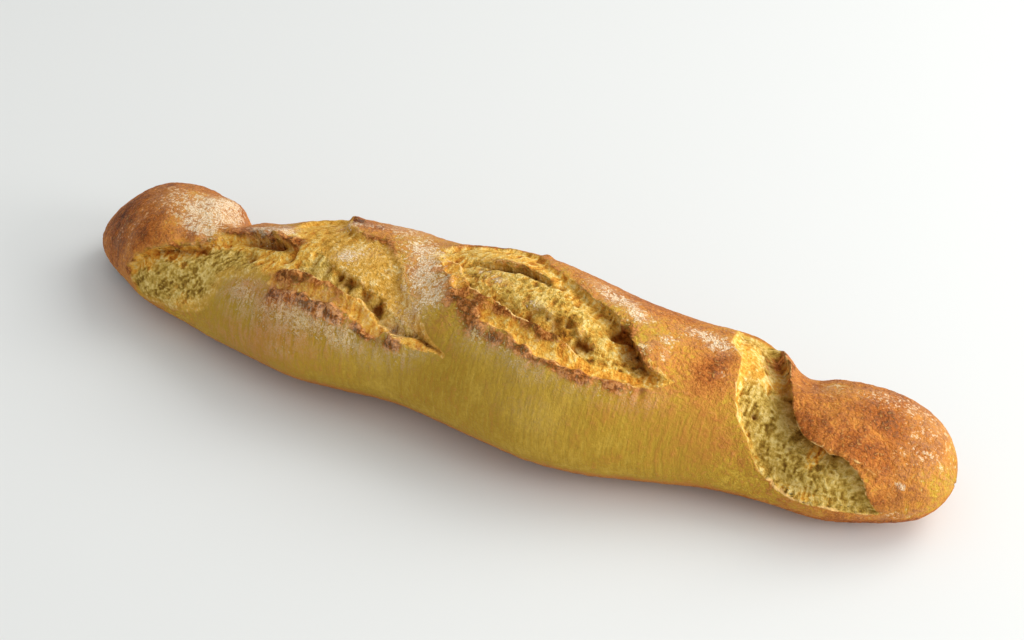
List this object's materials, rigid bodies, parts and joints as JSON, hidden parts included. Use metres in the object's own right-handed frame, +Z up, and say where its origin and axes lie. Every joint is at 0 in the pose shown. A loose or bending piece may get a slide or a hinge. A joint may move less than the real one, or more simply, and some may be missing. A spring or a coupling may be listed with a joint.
{
  "type": "baguette",
  "caption": "Rustic baguette: a gently bowed loaf with a round knob at each end and slashes that tore open into sharp crust lips, lying on a flat underside; whole bread for a table or shop.",
  "frame": {"origin": "on the surface the loaf rests on, under the middle of its bounding box", "axes": "+X along the loaf towards the end with the smooth round knob beyond the last slash, +Z up out of the slashed top, -Y towards the side that the picture shows"},
  "size_m": [0.36, 0.086, 0.058],
  "materials": {
    "crust": "matte"
  },
  "bodies": {
    "root": {"loaf": "crust"}
  },
  "joints": []
}
